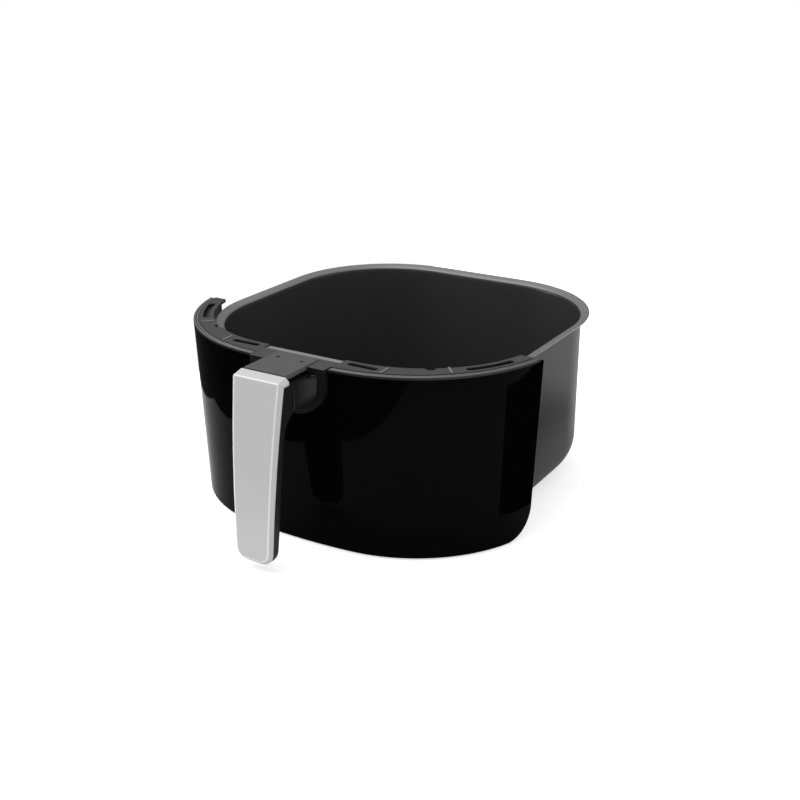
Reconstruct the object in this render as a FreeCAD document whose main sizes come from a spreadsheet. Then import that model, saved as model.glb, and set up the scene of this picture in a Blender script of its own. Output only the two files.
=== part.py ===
import FreeCAD, Part
import math
import os
import re

import Sketcher

# An air fryer's drawer: a deep-drawn pan, a double-walled front with a fixed handle, and a loose crisper plate.
# Millimetres. The origin is the middle of the pan's flat base, +Z is up and the handle points to -Y.

DIMENSIONS = {
    # Pan, deep-drawn from one sheet, with a lip that flares out to a rolled bead.
    "pan_width": 236,
    "pan_corner": 80,
    "pan_height": 126,
    "pan_sheet": 1.2,
    "pan_base_round": 28,
    "rim_overhang": 6,
    "rim_round": 2.8,
    "rim_bead": 2.4,
    "rim_edge_round": 1,
    # Front panel, seen from above a shallow bow between two large corners, leaning in towards its foot.
    "panel_rise": 3,
    "panel_stand_off": 28,
    "panel_side_off": 21,
    "panel_corner_extra": 29,
    "panel_bow": 380,
    "panel_rear": 54,
    "panel_sheet": 2.5,
    "panel_draft": 2.3,
    "panel_foot_round": 22,
    "floor_gap": 1,
    # Liner behind the panel and the heat shield on the liner's inside.
    "liner_gap": 12,
    "liner_wall": 2,
    "liner_floor": 2.5,
    "liner_step": 2,
    "shield_sheet": 0.6,
    "shield_foot": 15,
    "shield_top": 90,
    "shield_wrap": 54,
    # Caps over the gap between panel and pan.
    "bezel_sheet": 2.2,
    "bezel_gap": 0.8,
    "bezel_rear": 58,
    "bezel_ledge": 4.5,
    "bezel_step": 0.7,
    "bezel_skirt": 4,
    "vent_width": 5,
    "vent_length": 19,
    "vent_start": 37,
    "vent_low_angle": 22,
    "vent_high_angle": 42,
    "rib_width": 1.2,
    "rib_place": 62,
    "rib_angle": 49,
    "notch_angle": 57,
    "notch_radius": 3.5,
    # Handle: steel bracket on the pan, moulded arm and grip, silver face and snap-on cover.
    "bracket_sheet": 2,
    "strip_width": 61,
    "strip_rise": 4,
    "strip_depth": 7,
    "tongue_width": 22,
    "tongue_length": 28,
    "tongue_drop": 9,
    "weld_length": 20,
    "riser_gap": 3,
    "flange_half": 29.3,
    "flange_height": 31.5,
    "flange_corner": 23,
    "flange_proud": 2.5,
    "root_inset": 4.7,
    "root_length": 4,
    "root_slope": 42,
    "arm_drop": 2.5,
    "arm_height": 21,
    "arm_inner_round": 14,
    "grip_half_top": 19.6,
    "grip_half_foot": 14.5,
    "grip_reach": 31.2,
    "grip_lean": 12.1,
    "grip_depth": 8,
    "grip_foot": 6,
    "grip_bow": 910,
    "grip_edge_round": 4.5,
    "grip_foot_round": 9,
    "face_depth": 3,
    "face_bevel": 2.5,
    "face_rise": 4.9,
    "face_slope": 1.8,
    "cover_half": 16.2,
    "cover_sheet": 3,
    "cover_start": 3,
    "cover_stop": 6.2,
    "cover_gap": 1,
    "seat_height": 2.5,
    "seat_half": 14.8,
    "seat_step": 1,
    "well_half": 12.4,
    "well_wall": 3,
    "well_web": 2,
    "snap_place": 9.4,
    "snap_start": 9,
    "snap_size": 2.5,
    "snap_length": 6,
    # Fasteners.
    "arm_screw": 4,
    "arm_head": 8,
    "arm_head_height": 2.4,
    "arm_screw_start": 10,
    "arm_screw_pitch": 12,
    "nut_width": 7,
    "nut_height": 3.2,
    "small_screw": 3,
    "small_head": 5.6,
    "small_head_height": 1.8,
    "boss_width": 8,
    "boss_inset": 5,
    "boss_low": 25,
    "boss_high": 80,
    "face_screw_low": 45,
    "face_screw_high": 95,
    "side_angle": 25,
    "side_width": 18,
    "side_sheet": 1.5,
    "side_low": 60,
    "side_flange": 22,
    "side_pitch": 12,
    # Crisper plate with its pressed feet and silicone clips.
    "plate_height": 25,
    "plate_sheet": 1.2,
    "plate_gap": 2.3,
    "plate_lip": 2,
    "finger_hole": 26,
    "foot_place": 62,
    "foot_width": 12,
    "slot_width": 5,
    "slot_length": 20,
    "slot_ring_gap": 8,
    "bumper_width": 16,
    "bumper_inside": 6,
    "bumper_below": 4,
    "bumper_above": 3,
    "bumper_gap": 1.2,
    # Clearances.
    "fit_gap": 0.2,
    "hole_gap": 0.2,
}

# Lengths that follow from the sheet: distances to the front count from the pan's middle, heights from its base.
PLACES = {
    "pan_half": "dims.pan_width / 2",
    "corner_mid": "places.pan_half - dims.pan_corner",
    "panel_top": "dims.pan_height + dims.panel_rise",
    "panel_front": "places.pan_half + dims.panel_stand_off",
    "panel_half": "places.pan_half + dims.panel_side_off",
    "panel_corner": "dims.pan_corner + dims.panel_corner_extra",
    "bow_mid": "dims.panel_bow - places.panel_front",
    "bow_sine": "(places.panel_half - places.panel_corner) / (dims.panel_bow - places.panel_corner)",
    "bow_cosine": "sqrt(1 - places.bow_sine^2)",
    "panel_corner_y": "places.bow_mid - (dims.panel_bow - places.panel_corner) * places.bow_cosine",
    "bezel_top": "places.panel_top + dims.bezel_sheet",
    "liner_front": "places.pan_half + dims.liner_gap + dims.liner_wall",
    "liner_rear": "dims.panel_rear + dims.liner_step",
    "shield_outside": "dims.liner_gap - dims.fit_gap",
    "shield_inside": "places.shield_outside - dims.shield_sheet",
    "shield_rear": "places.corner_mid + dims.shield_wrap",
    "boss_place": "places.corner_mid - dims.boss_inset",
    "boss_face": "places.liner_front + dims.fit_gap",
    "strip_top": "dims.pan_height + dims.strip_rise",
    "strip_rear": "places.pan_half + dims.rim_overhang + dims.bezel_gap",
    "strip_front": "places.strip_rear + dims.strip_depth",
    "riser_place": "places.pan_half + dims.rim_overhang + dims.riser_gap",
    "tongue_height": "dims.pan_height - dims.tongue_drop",
    "tongue_top": "places.tongue_height + dims.bracket_sheet",
    "tongue_end": "places.flange_back + dims.tongue_length",
    "flange_face": "places.panel_front + dims.flange_proud",
    "flange_back": "places.strip_front + dims.fit_gap",
    "flange_foot": "places.panel_top - dims.flange_height",
    "root_half": "dims.flange_half - dims.root_inset",
    "root_foot": "places.flange_foot + dims.root_inset",
    "root_corner": "dims.flange_corner - dims.root_inset",
    "arm_top": "places.panel_top - dims.arm_drop",
    "arm_foot": "places.arm_top - dims.arm_height",
    "arm_screw_rear": "places.flange_back + dims.arm_screw_start",
    "arm_screw_front": "places.arm_screw_rear + dims.arm_screw_pitch",
    "well_floor": "places.tongue_top + dims.well_web",
    "grip_reach_top": "places.panel_front + dims.grip_reach",
    "grip_reach_foot": "places.grip_reach_top + dims.grip_lean",
    "grip_back_foot": "places.grip_reach_foot - dims.grip_depth",
    "grip_length": "places.arm_top - dims.grip_foot",
    "cover_rear": "places.flange_back + dims.cover_start",
    "cover_front": "places.grip_reach_top - dims.cover_stop",
    "cover_seat": "places.arm_top + dims.seat_height",
    "snap_row": "places.cover_rear + dims.snap_start",
    "face_top": "places.arm_top + dims.face_rise",
    "face_brow": "places.face_top - dims.face_slope",
    "face_top_rear": "places.cover_front + dims.cover_gap",
    "side_inner": "dims.pan_corner + dims.fit_gap",
    "side_outer": "sqrt((dims.pan_corner + dims.liner_gap)^2 - (dims.side_width / 2)^2) - dims.fit_gap",
    "plate_inset": "-dims.pan_sheet - dims.plate_gap",
    "vent_end_round": "dims.vent_width / 2 + dims.fit_gap",
    "small_hole": "dims.small_screw + 2 * dims.hole_gap",
    "above_all": "2 * places.bezel_top",
    "past_front": "2 * places.grip_reach_foot",
}

doc = FreeCAD.newDocument("air_fryer_drawer")
sheet = doc.addObject("Spreadsheet::Sheet", "dims")
for row, (alias, number) in enumerate(DIMENSIONS.items(), start=1):
    sheet.set(f"A{row}", str(number))
    sheet.setAlias(f"A{row}", alias)
doc.recompute()


def in_sheet_words(expression):
    """The expression with each derived length written out in the sheet's own sizes."""
    text = str(expression)
    while "places." in text:
        text = re.sub(r"places\.(\w+)", lambda match: f"({PLACES[match[1]]})", text)
    return text


def size(expression):
    """The number that an expression of the dimension sheet gives."""
    return float(sheet.evalExpression(in_sheet_words(expression)))


def minus(expression):
    return f"(-({expression}))"


def line_to(x, y):
    return (x, y, None, 0)


def arc_to(x, y, radius, turn=1):
    """An arc of less than half a circle up to (x, y), turning left (1) or right (-1)."""
    return (x, y, radius, turn)


def mirrored(path):
    return [(minus(x), y, radius, -turn) for x, y, radius, turn in path]


def rectangle(left, low, right, high):
    return [line_to(left, low), line_to(right, low), line_to(right, high), line_to(left, high)]


def rounded_square(outside):
    """The pan's outline from above, moved outside its wall."""
    half = f"(places.pan_half + {outside})"
    radius = f"(dims.pan_corner + {outside})"
    mid = "places.corner_mid"
    return [
        line_to(half, mid),
        arc_to(mid, half, radius),
        line_to(minus(mid), half),
        arc_to(minus(half), mid, radius),
        line_to(minus(half), minus(mid)),
        arc_to(minus(mid), minus(half), radius),
        line_to(mid, minus(half)),
        arc_to(half, minus(mid), radius),
    ]


def panel_outline(inset):
    """The panel's outline from above, moved inwards: a bow between two corner arcs, closed near the middle."""
    side = f"(places.panel_half - {inset})"
    corner = f"(places.panel_corner - {inset})"
    bow = f"(dims.panel_bow - {inset})"
    joint_x = f"({bow} * places.bow_sine)"
    joint_y = f"(places.bow_mid - {bow} * places.bow_cosine)"
    return [
        line_to(minus(side), "places.panel_corner_y"),
        arc_to(minus(joint_x), joint_y, corner),
        arc_to(joint_x, joint_y, bow),
        arc_to(side, "places.panel_corner_y", corner),
        line_to(side, minus(inset)),
        line_to(minus(side), minus(inset)),
    ]


def corner_point(radius, y_distance):
    """Half-width where a corner arc about the pan's corner centre crosses a given distance to the front."""
    return f"(places.corner_mid + sqrt({radius}^2 - ({y_distance} - places.corner_mid)^2))"


def front_band(inside, outside, rear):
    """A band round the front of the pan between two offsets of its wall, ending at the rear distance."""
    near = f"(dims.pan_corner + {inside})"
    far = f"(dims.pan_corner + {outside})"
    near_x = corner_point(near, rear)
    far_x = corner_point(far, rear)
    near_front = minus(f"places.pan_half + {inside}")
    far_front = minus(f"places.pan_half + {outside}")
    return [
        line_to(minus(far_x), minus(rear)),
        arc_to(minus("places.corner_mid"), far_front, far),
        line_to("places.corner_mid", far_front),
        arc_to(far_x, minus(rear), far),
        line_to(near_x, minus(rear)),
        arc_to("places.corner_mid", near_front, near, -1),
        line_to(minus("places.corner_mid"), near_front),
        arc_to(minus(near_x), minus(rear), near, -1),
    ]


def u_outline(half, foot, top, corner):
    """A U seen from the front: straight sides and round lower corners."""
    return [
        line_to(minus(half), top),
        line_to(minus(half), f"({foot} + {corner})"),
        arc_to(f"({corner} - {half})", foot, corner),
        line_to(f"({half} - {corner})", foot),
        arc_to(half, f"({foot} + {corner})", corner),
        line_to(half, top),
    ]


def polar(radius, angle):
    """A point about the pan's front corner centre, the angle running from +X to -Y."""
    return f"(places.corner_mid + {radius} * cos({angle}))", minus(f"places.corner_mid + {radius} * sin({angle})")


def corner_patch(inner, outer, low_angle, high_angle, end_round=None):
    """A patch of the band about the front corner, between two radii and two angles, with flat or round ends."""
    def end_at(place):
        return line_to(*place) if end_round is None else arc_to(*place, end_round, -1)

    return [
        end_at(polar(inner, high_angle)),
        arc_to(*polar(inner, low_angle), inner),
        end_at(polar(outer, low_angle)),
        arc_to(*polar(outer, high_angle), outer, -1),
    ]


def new_body(label):
    body = doc.addObject("PartDesign::Body", label)
    body.Label = label
    return body


def arc_geometry(start, end, radius, turn):
    """Circle arc between two points, always written anticlockwise, as sketches hold it."""
    chord = FreeCAD.Vector(end[0] - start[0], end[1] - start[1], 0)
    middle = FreeCAD.Vector((start[0] + end[0]) / 2, (start[1] + end[1]) / 2, 0)
    left = FreeCAD.Vector(-chord.y, chord.x, 0) / chord.Length
    centre = middle + left * turn * math.sqrt(max(radius**2 - chord.Length**2 / 4, 0))
    first, last = (start, end) if turn > 0 else (end, start)
    first_angle = math.atan2(first[1] - centre.y, first[0] - centre.x)
    last_angle = math.atan2(last[1] - centre.y, last[0] - centre.x)
    return Part.ArcOfCircle(Part.Circle(centre, FreeCAD.Vector(0, 0, 1), radius), first_angle, last_angle)


def bind(sketch, constraint, expression):
    index = sketch.addConstraint(constraint)
    sketch.setExpression(f"Constraints[{index}]", in_sheet_words(expression))


def draw_outline(sketch, path):
    """Draws one closed outline and ties each corner and radius to its expression."""
    first = sketch.GeometryCount
    points = [(size(x), size(y)) for x, y, radius, turn in path]
    for index, (x, y, radius, turn) in enumerate(path):
        start = points[index - 1]
        end = points[index]
        if radius is None:
            edge = Part.LineSegment(FreeCAD.Vector(*start, 0), FreeCAD.Vector(*end, 0))
        else:
            edge = arc_geometry(start, end, size(radius), turn)
        sketch.addGeometry(edge, False)
    for index, (x, y, radius, turn) in enumerate(path):
        edge = first + index
        following = first + (index + 1) % len(path)
        end_place = 1 if turn < 0 else 2
        start_place = 2 if path[(index + 1) % len(path)][3] < 0 else 1
        sketch.addConstraint(Sketcher.Constraint("Coincident", edge, end_place, following, start_place))
        bind(sketch, Sketcher.Constraint("DistanceX", -1, 1, edge, end_place, points[index][0]), x)
        bind(sketch, Sketcher.Constraint("DistanceY", -1, 1, edge, end_place, points[index][1]), y)
        if radius is not None:
            bind(sketch, Sketcher.Constraint("Radius", edge, size(radius)), radius)


def draw_circle(sketch, x, y, diameter):
    centre = FreeCAD.Vector(size(x), size(y), 0)
    edge = sketch.addGeometry(Part.Circle(centre, FreeCAD.Vector(0, 0, 1), size(diameter) / 2), False)
    bind(sketch, Sketcher.Constraint("DistanceX", -1, 1, edge, 3, centre.x), x)
    bind(sketch, Sketcher.Constraint("DistanceY", -1, 1, edge, 3, centre.y), y)
    bind(sketch, Sketcher.Constraint("Diameter", edge, size(diameter)), diameter)


def new_sketch(body, name, plane, height, outlines=(), circles=()):
    """A sketch on one of the body's own planes, moved along that plane's normal."""
    planes = {feature.Role: feature for feature in body.Origin.OriginFeatures}
    sketch = body.newObject("Sketcher::SketchObject", f"{body.Name}_{name}_sketch")
    sketch.AttachmentSupport = [(planes[plane], "")]
    sketch.MapMode = "FlatFace"
    sketch.setExpression("AttachmentOffset.Base.z", in_sheet_words(height))
    for path in outlines:
        draw_outline(sketch, path)
    for x, y, diameter in circles:
        draw_circle(sketch, x, y, diameter)
    return sketch


def grow(kind, body, name, plane, height, outlines, length, circles=(), flip=False, both=False, taper=None):
    sketch = new_sketch(body, name, plane, height, outlines, circles)
    feature = body.newObject(f"PartDesign::{kind}", f"{body.Name}_{name}")
    feature.Profile = sketch
    feature.setExpression("Length", in_sheet_words(length))
    feature.Reversed = flip
    if both:
        feature.SideType = "Symmetric"
    if taper is not None:
        feature.setExpression("TaperAngle", taper)
    return feature


def pad(body, name, plane, height, outlines, length, **options):
    return grow("Pad", body, name, plane, height, outlines, length, **options)


def pocket(body, name, plane, height, outlines, length, **options):
    """A cut that has to take material away."""
    doc.recompute()
    before = body.Tip.Shape.Volume
    feature = grow("Pocket", body, name, plane, height, outlines, length, **options)
    doc.recompute()
    if not feature.Shape.Volume < before:
        raise RuntimeError(f"{feature.Name} cuts nothing")
    return feature


def edge_names(feature, wanted):
    return [f"Edge{number}" for number, edge in enumerate(feature.Shape.Edges, start=1) if wanted(edge)]


def dress(kind, body, name, amount, wanted):
    """Rounds or bevels the edges of the body's last feature that the test picks out."""
    doc.recompute()
    base = body.Tip
    names = edge_names(base, wanted)
    if not names:
        raise RuntimeError(f"{body.Name}_{name} finds no edge")
    feature = body.newObject(f"PartDesign::{kind}", f"{body.Name}_{name}")
    feature.Base = (base, names)
    feature.setExpression("Radius" if kind == "Fillet" else "Size", in_sheet_words(amount))
    return feature


def near(number, expression, slack=0.01):
    return abs(number - size(expression)) < slack


def level_at(edge, expression):
    box = edge.BoundBox
    return near(box.ZMin, expression) and near(box.ZMax, expression)


def wall_distance(edge):
    """How far an edge's middle lies outside the pan's wall, measured from the wall's rounded outline."""
    middle = edge.valueAt((edge.FirstParameter + edge.LastParameter) / 2)
    mid = size("places.corner_mid")
    across = max(abs(middle.x) - mid, 0)
    along = max(abs(middle.y) - mid, 0)
    return math.hypot(across, along) - size("dims.pan_corner")


def make_pan():
    pan = new_body("pan")
    pad(pan, "block", "XY_Plane", "0", [rounded_square("0")], "dims.pan_height")
    inside = rounded_square("-dims.pan_sheet")
    depth = "dims.pan_height - dims.pan_sheet"
    pocket(pan, "inside", "XY_Plane", "dims.pan_height", [inside], depth)
    inner_round = "dims.pan_base_round - dims.pan_sheet"
    dress("Fillet", pan, "inner_round", inner_round, lambda edge: level_at(edge, "dims.pan_sheet"))
    dress("Fillet", pan, "base_round", "dims.pan_base_round", lambda edge: level_at(edge, "0"))
    lip = [rounded_square("dims.rim_overhang"), inside]
    pad(pan, "lip", "XY_Plane", "dims.pan_height", lip, "dims.pan_sheet", flip=True)
    bead = [rounded_square("dims.rim_overhang"), rounded_square("(dims.rim_overhang - dims.rim_bead)")]
    pad(pan, "bead", "XY_Plane", "dims.pan_height", bead, "dims.rim_bead", flip=True)

    def under_lip(edge):
        return level_at(edge, "dims.pan_height - dims.pan_sheet") and near(wall_distance(edge), "0")

    def over_lip(edge):
        return level_at(edge, "dims.pan_height") and near(wall_distance(edge), "-dims.pan_sheet")

    def bead_edge(edge):
        level = level_at(edge, "dims.pan_height") or level_at(edge, "dims.pan_height - dims.rim_bead")
        return level and near(wall_distance(edge), "dims.rim_overhang")

    dress("Fillet", pan, "under_lip", "dims.rim_round", under_lip)
    dress("Fillet", pan, "over_lip", "dims.rim_round + dims.pan_sheet", over_lip)
    dress("Fillet", pan, "bead_round", "dims.rim_edge_round", bead_edge)
    return pan


def trim_rear(body, rear):
    """Ends a front piece at a flat, upright rear edge."""
    far = "places.past_front"
    behind = rectangle(minus(far), minus(rear), far, far)
    pocket(body, "rear", "XY_Plane", "places.above_all", [behind], "places.above_all")


def trim_foot(body, rear, radius):
    """Rounds the two lower rear corners, seen from the side."""
    low = "dims.floor_gap"
    below = f"({low} - {radius})"
    behind = f"({radius} - {rear})"
    corner = [
        line_to(f"(-{rear} - {radius})", low),
        arc_to(minus(rear), f"({low} + {radius})", radius),
        line_to(behind, f"({low} + {radius})"),
        line_to(behind, below),
        line_to(f"(-{rear} - {radius})", below),
    ]
    pocket(body, "foot", "YZ_Plane", "0", [corner], "2 * places.past_front", both=True)


def panel_skin(x_place, height):
    """Distance to the front of the panel's outer face at a place across and a height."""
    return (f"(places.panel_front - {x_place}^2 / (2 * dims.panel_bow)"
            f" - (places.panel_top - {height}) * tan(dims.panel_draft))")


def boss_places():
    for height in ("dims.boss_low", "dims.boss_high"):
        for x_place in ("places.boss_place", minus("places.boss_place")):
            yield x_place, height


def pilot_depth():
    """How deep the screw holes go into the panel's bosses: up to the panel's inner face at the lower row."""
    return f"({panel_skin('places.boss_place', 'dims.boss_low')} - dims.panel_sheet - places.boss_face)"


def make_front_panel():
    panel = new_body("front_panel")
    length = "(places.panel_top - dims.floor_gap)"
    taper = "-dims.panel_draft"
    pad(panel, "outside", "XY_Plane", "places.panel_top", [panel_outline("0")], length, flip=True, taper=taper)
    pocket(panel, "inside", "XY_Plane", "places.panel_top", [panel_outline("dims.panel_sheet")], length, taper=taper)
    trim_rear(panel, "dims.panel_rear")
    trim_foot(panel, "dims.panel_rear", "dims.panel_foot_round")
    gap = "dims.fit_gap"
    window = u_outline(f"(dims.flange_half + {gap})", f"(places.flange_foot - {gap})", "places.above_all",
                       f"(dims.flange_corner + {gap})")
    pocket(panel, "window", "XZ_Plane", "places.past_front", [window], "places.past_front")
    for number, height in enumerate(("dims.boss_low", "dims.boss_high")):
        reach = f"{panel_skin('places.boss_place', height)} - dims.panel_sheet / 2"
        rows = [(x_place, height, "dims.boss_width") for x_place in ("places.boss_place", minus("places.boss_place"))]
        pad(panel, f"boss_{number}", "XZ_Plane", "places.boss_face", [], f"{reach} - places.boss_face", circles=rows)
    pilots = [(x_place, height, "places.small_hole") for x_place, height in boss_places()]
    pocket(panel, "pilots", "XZ_Plane", "places.boss_face", [], pilot_depth(), circles=pilots, flip=True)
    return panel


def make_panel_frame():
    frame = new_body("panel_frame_moulding")
    inset = "(dims.panel_sheet + dims.fit_gap)"
    length = "(places.panel_top - dims.floor_gap)"
    taper = "-dims.panel_draft"
    rear = "places.liner_rear"
    pad(frame, "outside", "XY_Plane", "places.panel_top", [panel_outline(inset)], length, flip=True, taper=taper)
    pan_room = [rounded_square("dims.liner_gap")]
    pocket(frame, "pan_room", "XY_Plane", "places.above_all", pan_room, "places.above_all")
    hollow_rear = f"({rear} + dims.liner_wall)"
    hollow_radius = "(dims.pan_corner + dims.liner_gap + dims.liner_wall)"
    hollow_x = corner_point(hollow_radius, hollow_rear)
    hollow_front = minus("places.liner_front")
    far = "places.past_front"
    hollow = [
        line_to(hollow_x, minus(hollow_rear)),
        arc_to("places.corner_mid", hollow_front, hollow_radius, -1),
        line_to(minus("places.corner_mid"), hollow_front),
        arc_to(minus(hollow_x), minus(hollow_rear), hollow_radius, -1),
        line_to(minus(far), minus(hollow_rear)),
        line_to(minus(far), minus(far)),
        line_to(far, minus(far)),
        line_to(far, minus(hollow_rear)),
    ]
    pocket(frame, "hollow", "XY_Plane", "places.panel_top", [hollow], f"{length} - dims.liner_floor")
    trim_rear(frame, rear)
    trim_foot(frame, rear, "dims.panel_foot_round")
    gap = "2 * dims.fit_gap"
    door_half = f"(max(dims.flange_half; dims.strip_width / 2) + {gap})"
    door = rectangle(minus(door_half), f"(places.flange_foot - {gap})", door_half, "places.above_all")
    pocket(frame, "handle_door", "XZ_Plane", "places.past_front", [door], "places.past_front")
    holes = [(x_place, height, "places.small_hole") for x_place, height in boss_places()]
    pocket(frame, "panel_holes", "XZ_Plane", "places.liner_front", [], "3 * dims.liner_wall", circles=holes)
    doc.recompute()

    holes = []
    for side in (1, -1):
        for height in side_screw_heights():
            hole = doc.addObject("Part::Cylinder", "side_hole")
            hole.setExpression("Radius", "dims.small_screw / 2 + dims.hole_gap")
            hole.setExpression("Height", "dims.liner_gap")
            start = size("dims.pan_corner + dims.liner_gap - dims.liner_wall")
            hole.Placement = side_placement(side, start, height, along=True)
            holes.append(hole)
    tools = doc.addObject("Part::Compound", "side_holes")
    tools.Links = holes
    cut = doc.addObject("Part::Cut", "panel_frame")
    cut.Base = frame
    cut.Tool = tools
    cut.Label = "panel_frame"
    return cut


def make_heat_shield():
    """Thin steel sheet on the liner's inside, held by the panel's screws."""
    shield = new_body("heat_shield")
    band = front_band("places.shield_inside", "places.shield_outside", "places.shield_rear")
    pad(shield, "band", "XY_Plane", "dims.shield_foot", [band], "dims.shield_top - dims.shield_foot")
    holes = [(x_place, height, "places.small_hole") for x_place, height in boss_places()]
    pocket(shield, "holes", "XZ_Plane", "places.liner_front", [], "dims.liner_gap", circles=holes)
    return shield


def make_bezel(label, side):
    """One cap, drawn for the right side and mirrored for the left."""
    def turned(path):
        return path if side > 0 else mirrored(path)

    bezel = new_body(label)
    pad(bezel, "plate", "XY_Plane", "places.panel_top", [panel_outline("0")], "dims.bezel_sheet")
    skirt_out = "(dims.panel_sheet + 2 * dims.fit_gap)"
    skirt = [panel_outline(skirt_out), panel_outline(f"({skirt_out} + dims.liner_wall / 2)")]
    pad(bezel, "skirt", "XY_Plane", "places.panel_top", skirt, "dims.bezel_skirt", flip=True)
    room = [rounded_square("(dims.rim_overhang + dims.bezel_gap)")]
    pocket(bezel, "pan_room", "XY_Plane", "places.above_all", room, "places.above_all")
    ledge = [panel_outline("-dims.bezel_ledge"), panel_outline("dims.bezel_ledge")]
    pocket(bezel, "ledge", "XY_Plane", "places.bezel_top", ledge, "dims.bezel_step")
    trim_rear(bezel, "dims.bezel_rear")
    far = "places.past_front"
    flange_side = "(dims.flange_half + dims.fit_gap)"
    strip_side = "(dims.strip_width / 2 + dims.fit_gap)"
    strip_face = minus("places.strip_front + dims.fit_gap")
    handle_room = turned([
        line_to(minus(far), minus(far)),
        line_to(flange_side, minus(far)),
        line_to(flange_side, strip_face),
        line_to(strip_side, strip_face),
        line_to(strip_side, far),
        line_to(minus(far), far),
    ])
    pocket(bezel, "handle_room", "XY_Plane", "places.above_all", [handle_room], "places.above_all")
    band_inside = "(dims.pan_corner + dims.rim_overhang + dims.bezel_gap)"
    vent_row = "(places.pan_half + dims.rim_overhang + dims.bezel_gap + dims.vent_width)"
    vent_low = minus(f"{vent_row} + dims.vent_width / 2")
    vent_high = minus(f"{vent_row} - dims.vent_width / 2")
    vent_end = "(dims.vent_start + dims.vent_length)"
    front_vent = turned([
        arc_to("dims.vent_start", vent_low, "places.vent_end_round"),
        line_to(vent_end, vent_low),
        arc_to(vent_end, vent_high, "places.vent_end_round"),
        line_to("dims.vent_start", vent_high),
    ])
    vent_radius = f"({band_inside} + dims.vent_width)"
    side_vent = turned(corner_patch(f"({vent_radius} - dims.vent_width / 2)", f"({vent_radius} + dims.vent_width / 2)",
                                    "dims.vent_low_angle", "dims.vent_high_angle", "places.vent_end_round"))
    notch = polar(band_inside, "dims.notch_angle")
    notch_x = notch[0] if side > 0 else minus(notch[0])
    pocket(bezel, "vents", "XY_Plane", "places.above_all", [front_vent, side_vent], "places.above_all")
    pocket(bezel, "notch", "XY_Plane", "places.above_all", [], "places.above_all",
           circles=[(notch_x, notch[1], "2 * dims.notch_radius")])

    rib_high = "dims.bezel_step"
    rib_inside = f"({band_inside} + dims.fit_gap)"
    rib_outside = f"({band_inside} + 2 * dims.vent_width)"
    rib_front = rectangle("dims.rib_place", minus(f"places.corner_mid + {rib_outside}"),
                          "(dims.rib_place + dims.rib_width)", minus(f"places.corner_mid + {rib_inside}"))
    rib_side = corner_patch(rib_inside, rib_outside, "dims.rib_angle",
                            "(dims.rib_angle + dims.rib_width / dims.pan_corner * 180 / pi)")
    pad(bezel, "ribs", "XY_Plane", "places.bezel_top", [turned(rib_front), turned(rib_side)], rib_high)
    return bezel


def make_handle_bracket():
    """Steel strip welded to the pan under its lip, stepping out round the lip, with a tongue for the arm."""
    bracket = new_body("handle_bracket")
    steel = "dims.bracket_sheet"
    wall = "places.pan_half"
    weld = rectangle(minus(f"{wall} + {steel}"), "(places.tongue_top - dims.weld_length)", minus(wall), "places.tongue_top")
    shelf = rectangle(minus(f"places.riser_place + {steel}"), "places.tongue_height", minus(wall), "places.tongue_top")
    riser = rectangle(minus(f"places.riser_place + {steel}"), "places.tongue_height", minus("places.riser_place"),
                      "places.strip_top")
    strip = rectangle(minus("places.strip_front"), f"(places.strip_top - {steel})", minus("places.strip_rear"), "places.strip_top")
    for name, path in (("weld", weld), ("shelf", shelf), ("riser", riser), ("strip", strip)):
        pad(bracket, name, "YZ_Plane", "0", [path], "dims.strip_width", both=True)
    tongue = rectangle(minus("places.tongue_end"), "places.tongue_height", minus("places.riser_place"), "places.tongue_top")
    pad(bracket, "tongue", "YZ_Plane", "0", [tongue], "dims.tongue_width", both=True)
    holes = [("0", minus(place), "dims.arm_screw + 2 * dims.hole_gap") for place in arm_screw_places()]
    pocket(bracket, "holes", "XY_Plane", "places.above_all", [], "places.above_all", circles=holes)
    return bracket


def arm_screw_places():
    return ("places.arm_screw_rear", "places.arm_screw_front")


def grip_share(height):
    return f"((places.arm_top - {height}) / places.grip_length)"


def grip_reach(height):
    """Distance to the front of the grip's front face at a height: a straight lean plus the arc's bulge."""
    share = grip_share(height)
    bulge = f"(places.grip_length^2 / (2 * dims.grip_bow) * {share} * (1 - {share}))"
    return f"(places.grip_reach_top + (places.grip_reach_foot - places.grip_reach_top) * {share} + {bulge})"


def trim_grip_sides(body, clearance):
    """Leans both sides of the handle in towards its foot."""
    top = "(places.arm_top + places.grip_length)"
    foot = "(dims.grip_foot - places.grip_length)"
    lean = "(dims.grip_half_top - dims.grip_half_foot)"
    wedge = [
        line_to(f"(dims.grip_half_foot - {lean} - {clearance})", foot),
        line_to("places.past_front", foot),
        line_to("places.past_front", top),
        line_to(f"(dims.grip_half_top + {lean} - {clearance})", top),
    ]
    depth = "2 * places.grip_reach_foot - places.flange_face - dims.root_length"
    pocket(body, "lean", "XZ_Plane", "places.past_front", [wedge, mirrored(wedge)], depth)


def grip_foot_corner(edge):
    box = edge.BoundBox
    return level_at(edge, "dims.grip_foot") and box.XLength < box.YLength


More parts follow.
